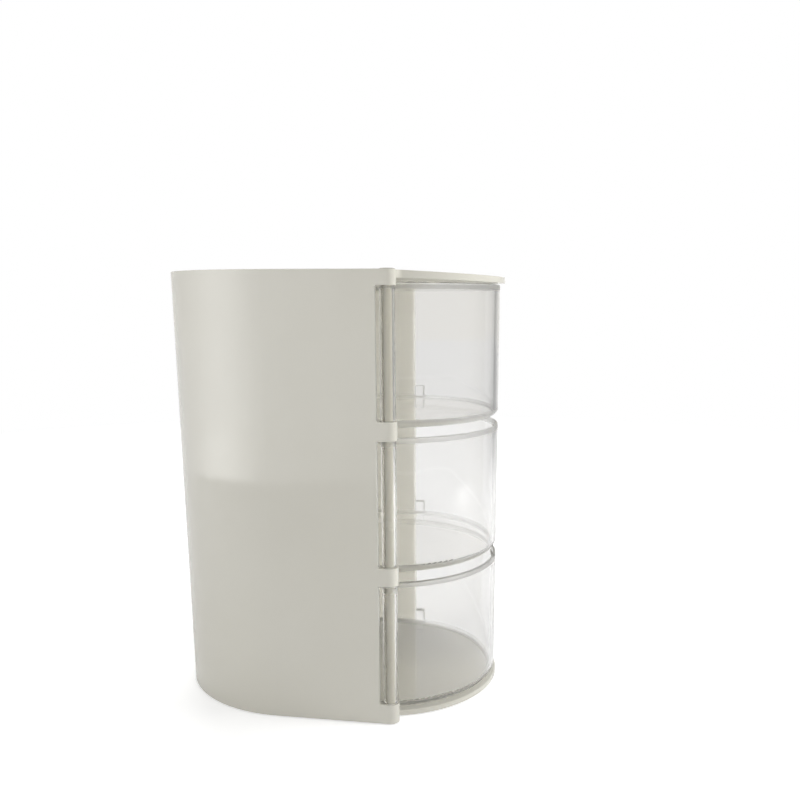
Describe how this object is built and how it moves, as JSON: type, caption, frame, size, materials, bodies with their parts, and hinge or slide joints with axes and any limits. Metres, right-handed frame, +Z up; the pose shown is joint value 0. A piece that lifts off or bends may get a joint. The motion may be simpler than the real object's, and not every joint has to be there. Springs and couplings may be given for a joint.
{
  "type": "swing-out drawer organizer",
  "caption": "Upright vanity organizer: clear tubs swing out sideways on one upright hinge rod from a round-backed white housing.",
  "frame": {"origin": "middle of the footprint, on the surface that the feet stand on", "axes": "+Z up, -Y towards the open front with the drawers, +X towards the plain side wall, so the hinge side is at -X"},
  "size_m": [0.1, 0.13, 0.165],
  "materials": {
    "shell_plastic": "satin moulded",
    "rod_plastic": "smooth",
    "clear_plastic": "clear polished",
    "foot_rubber": "matte"
  },
  "bodies": {
    "frame": {"housing": "shell_plastic", "base_plate": "shell_plastic", "top_cover": "shell_plastic", "hinge_rod": "rod_plastic", "foot_back_hinge_side": "foot_rubber", "foot_back_far_side": "foot_rubber", "foot_front_hinge_side": "foot_rubber", "foot_front_far_side": "foot_rubber"},
    "bottom_drawer": {"drawer_bottom": "clear_plastic"},
    "middle_drawer": {"drawer_middle": "clear_plastic"},
    "top_drawer": {"drawer_top": "clear_plastic"}
  },
  "joints": [
    {"name": "bottom_drawer_swing", "type": "hinge", "parent": "frame", "child": "bottom_drawer", "pos_m": [-0.0469, -0.0287, 0.0277], "axis": [0, 0, -1], "range_deg": [0, 180]},
    {"name": "middle_drawer_swing", "type": "hinge", "parent": "frame", "child": "middle_drawer", "pos_m": [-0.0469, -0.0287, 0.0814], "axis": [0, 0, -1], "range_deg": [0, 180]},
    {"name": "top_drawer_swing", "type": "hinge", "parent": "frame", "child": "top_drawer", "pos_m": [-0.0469, -0.0287, 0.135], "axis": [0, 0, -1], "range_deg": [0, 180]}
  ]
}
